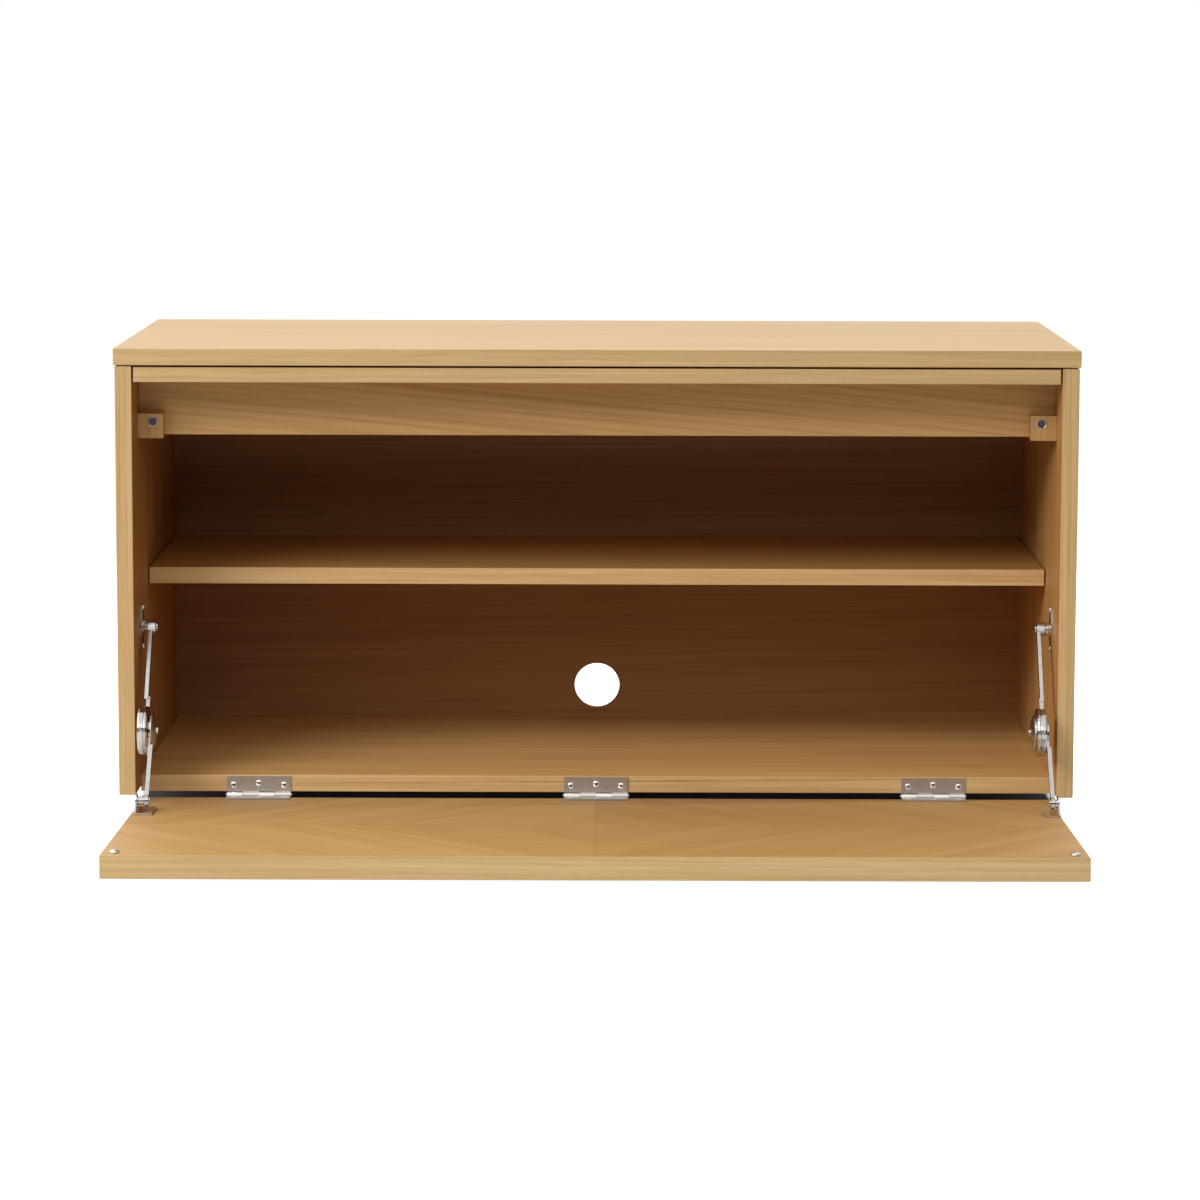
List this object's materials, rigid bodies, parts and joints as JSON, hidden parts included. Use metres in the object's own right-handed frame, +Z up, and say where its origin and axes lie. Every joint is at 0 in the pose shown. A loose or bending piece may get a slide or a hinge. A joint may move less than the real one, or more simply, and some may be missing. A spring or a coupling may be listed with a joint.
{
  "type": "media cabinet",
  "caption": "Wall-hung oak media cabinet: a low carcass with an adjustable shelf and cable hole, closed by a drop-down flap on butt hinges and braked stays.",
  "frame": {"origin": "on the rear face of the back panel, on the centre line, level with the middle of the hanging rail", "axes": "+X to the right seen from the front, +Y through the rear face into the wall, +Z up"},
  "size_m": [1.033, 0.8492, 0.5175],
  "materials": {
    "oak_outside": "matt lacquered oak veneer, light golden",
    "oak_inside": "matt lacquered oak veneer",
    "oak_flap": "matt lacquered oak veneer laid in a lozenge pattern",
    "nickel_plate": "bright nickel plate",
    "satin_steel": "satin nickel-plated steel",
    "magnet": "dull dark magnet face in a plated cup"
  },
  "bodies": {
    "carcass": {"top_panel": "oak_outside", "bottom_panel": "oak_inside", "back_panel": "oak_inside", "carcass_top_panel": "oak_outside", "fascia_rail": "oak_outside", "hanging_rail": "oak_inside", "adjustable_shelf": "oak_inside", "left_side_panel": "oak_outside", "left_catch_block": "oak_outside", "left_catch_magnet": "magnet", "left_front_shelf_pin": "satin_steel", "left_rear_shelf_pin": "satin_steel", "left_stay_side_bracket": "nickel_plate", "right_side_panel": "oak_outside", "right_catch_block": "oak_outside", "right_catch_magnet": "magnet", "right_front_shelf_pin": "satin_steel", "right_rear_shelf_pin": "satin_steel", "right_stay_side_bracket": "nickel_plate", "hinge_left_cabinet_leaf": "satin_steel", "hinge_left_pin": "nickel_plate", "hinge_left_screw_1": "nickel_plate", "hinge_left_screw_2": "nickel_plate", "hinge_left_screw_3": "nickel_plate", "hinge_middle_cabinet_leaf": "satin_steel", "hinge_middle_pin": "nickel_plate", "hinge_middle_screw_1": "nickel_plate", "hinge_middle_screw_2": "nickel_plate", "hinge_middle_screw_3": "nickel_plate", "hinge_right_cabinet_leaf": "satin_steel", "hinge_right_pin": "nickel_plate", "hinge_right_screw_1": "nickel_plate", "hinge_right_screw_2": "nickel_plate", "hinge_right_screw_3": "nickel_plate"},
    "flap": {"flap_panel": "oak_flap", "hinge_left_flap_leaf": "satin_steel", "hinge_middle_flap_leaf": "satin_steel", "hinge_right_flap_leaf": "satin_steel", "left_strike": "nickel_plate", "left_stay_foot_bracket": "nickel_plate", "left_stay_foot_screw_1": "nickel_plate", "left_stay_foot_screw_2": "nickel_plate", "right_strike": "nickel_plate", "right_stay_foot_bracket": "nickel_plate", "right_stay_foot_screw_1": "nickel_plate", "right_stay_foot_screw_2": "nickel_plate"},
    "left_upper_arm": {"left_stay_upper_arm": "nickel_plate", "left_stay_brake_housing": "nickel_plate"},
    "left_lower_arm": {"left_stay_lower_arm": "nickel_plate", "left_stay_brake_cap": "satin_steel"},
    "left_adjuster": {"left_stay_adjuster": "nickel_plate"},
    "right_upper_arm": {"right_stay_upper_arm": "nickel_plate", "right_stay_brake_housing": "nickel_plate", "right_stay_brake_cap": "satin_steel"},
    "right_lower_arm": {"right_stay_lower_arm": "nickel_plate"},
    "right_adjuster": {"right_stay_adjuster": "nickel_plate"}
  },
  "joints": [
    {"name": "flap_hinge", "type": "hinge", "parent": "carcass", "child": "flap", "pos_m": [0, -0.4235, -0.4242], "axis": [-1, 0, 0], "range_deg": [0, 87.93]},
    {"name": "left_stay_pivot", "type": "hinge", "parent": "carcass", "child": "left_upper_arm", "pos_m": [-0.484, -0.403, -0.242], "axis": [1, 0, 0], "range_deg": [0, 70.52]},
    {"name": "left_stay_foot_pivot", "type": "hinge", "parent": "flap", "child": "left_lower_arm", "pos_m": [-0.48, -0.54107, -0.41024], "axis": [1, 0, 0], "range_deg": [0, 17.85]},
    {"name": "left_brake_adjuster_turn", "type": "hinge", "parent": "left_lower_arm", "child": "left_adjuster", "pos_m": [-0.474, -0.476, -0.345], "axis": [1, 0, 0], "range_deg": [-120, 120]},
    {"name": "right_stay_pivot", "type": "hinge", "parent": "carcass", "child": "right_upper_arm", "pos_m": [0.484, -0.403, -0.242], "axis": [1, 0, 0], "range_deg": [0, 70.52]},
    {"name": "right_stay_foot_pivot", "type": "hinge", "parent": "flap", "child": "right_lower_arm", "pos_m": [0.48, -0.54107, -0.41024], "axis": [1, 0, 0], "range_deg": [0, 17.85]},
    {"name": "right_brake_adjuster_turn", "type": "hinge", "parent": "right_upper_arm", "child": "right_adjuster", "pos_m": [0.474, -0.476, -0.345], "axis": [1, 0, 0], "range_deg": [-120, 120]}
  ],
  "couplings": [
    {"joint": "left_stay_pivot", "follows": "flap_hinge", "ratio": 0.80146},
    {"joint": "left_stay_foot_pivot", "follows": "flap_hinge", "ratio": 0.20238},
    {"joint": "right_stay_pivot", "follows": "flap_hinge", "ratio": 0.80146},
    {"joint": "right_stay_foot_pivot", "follows": "flap_hinge", "ratio": 0.20238}
  ]
}
